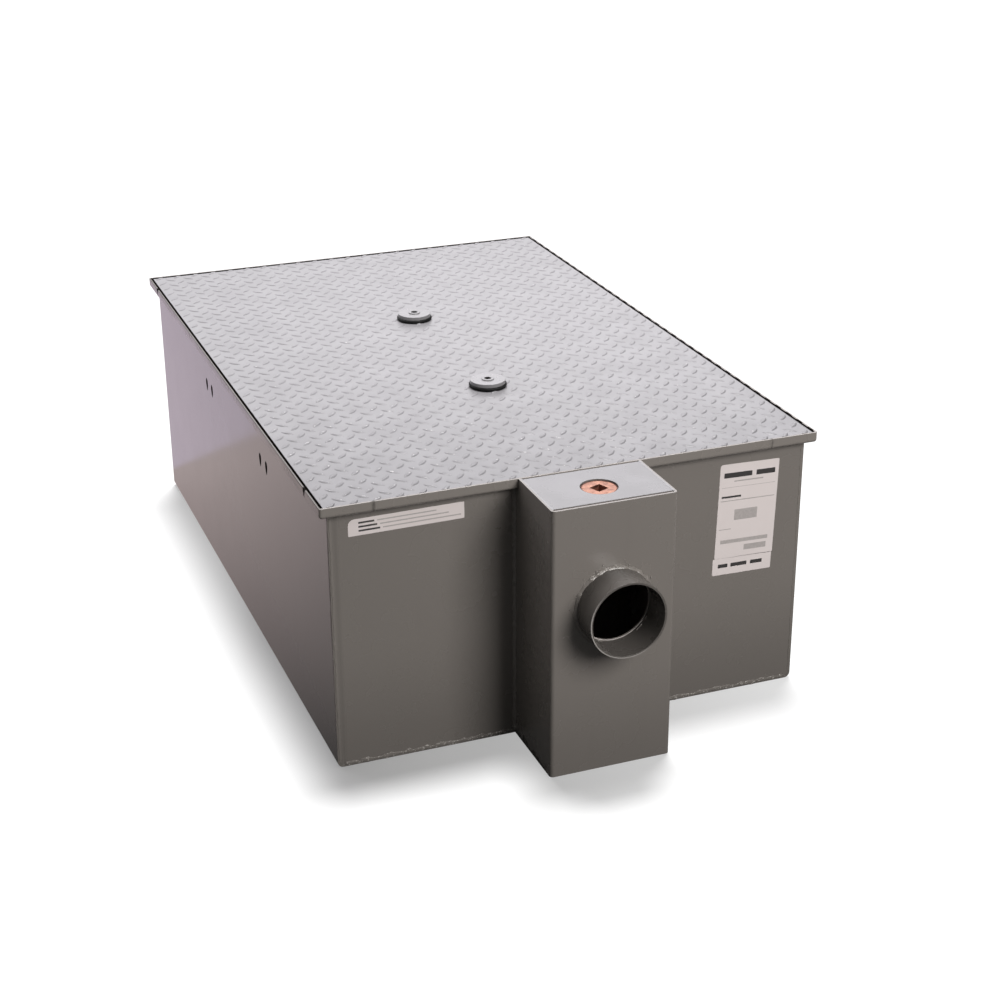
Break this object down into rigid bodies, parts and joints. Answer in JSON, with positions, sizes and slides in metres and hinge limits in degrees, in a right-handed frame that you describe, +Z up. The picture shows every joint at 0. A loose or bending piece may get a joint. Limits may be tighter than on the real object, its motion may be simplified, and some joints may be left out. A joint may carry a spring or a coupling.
{
  "type": "grease trap",
  "caption": "Low welded steel grease trap with a flush tread-plate cover on disc-head bolts, a boxed outlet riser with a cleanout plug, and pipe stubs at both ends.",
  "frame": {"origin": "on the floor under the middle of the tank", "axes": "+Z up, -Y towards the outlet, +Y towards the inlet, +X to the right seen from the outlet side"},
  "size_m": [0.762, 1.366, 0.4261],
  "materials": {
    "enamel": "semi-gloss warm grey enamel",
    "light_enamel": "semi-gloss pale grey enamel",
    "steel": "turned, bare",
    "rubber": "matt black",
    "bronze": "machined bronze"
  },
  "bodies": {
    "tank": {"tank_shell": "enamel", "outlet_end_plate": "enamel", "inlet_end_plate": "enamel", "rim_front": "enamel", "rim_right": "enamel", "rim_back": "enamel", "rim_left": "enamel", "rim_corner_front_left": "enamel", "rim_corner_front_right": "enamel", "rim_corner_back_left": "enamel", "rim_corner_back_right": "enamel", "outlet_box": "enamel", "outlet_box_floor": "enamel", "outlet_box_top": "light_enamel", "outlet_pipe": "enamel", "inlet_pipe": "enamel", "cleanout_ring": "steel", "crossbar_outlet": "enamel", "crossbar_inlet": "enamel", "weld_nut_outlet": "steel", "weld_nut_inlet": "steel", "inlet_baffle": "enamel", "baffle_guide_left": "enamel", "baffle_guide_right": "enamel"},
    "cover": {"cover": "light_enamel", "cover_gasket": "rubber", "seal_washer_outlet": "rubber", "seal_washer_inlet": "rubber"},
    "outlet_bolt": {"hold_down_bolt_outlet": "light_enamel"},
    "inlet_bolt": {"hold_down_bolt_inlet": "light_enamel"},
    "plug": {"cleanout_plug": "bronze"}
  },
  "joints": [
    {"name": "cover_lift", "type": "slide", "parent": "tank", "child": "cover", "axis": [0, 0, 1], "range_m": [0, 0.25]},
    {"name": "outlet_bolt_turn", "type": "hinge", "parent": "cover", "child": "outlet_bolt", "pos_m": [0, -0.202, 0.4], "axis": [0, 0, 1], "continuous": true},
    {"name": "inlet_bolt_turn", "type": "hinge", "parent": "cover", "child": "inlet_bolt", "pos_m": [0, 0.158, 0.4], "axis": [0, 0, 1], "continuous": true},
    {"name": "plug_turn", "type": "hinge", "parent": "tank", "child": "plug", "pos_m": [0, -0.636, 0.4], "axis": [0, 0, 1], "continuous": true}
  ]
}
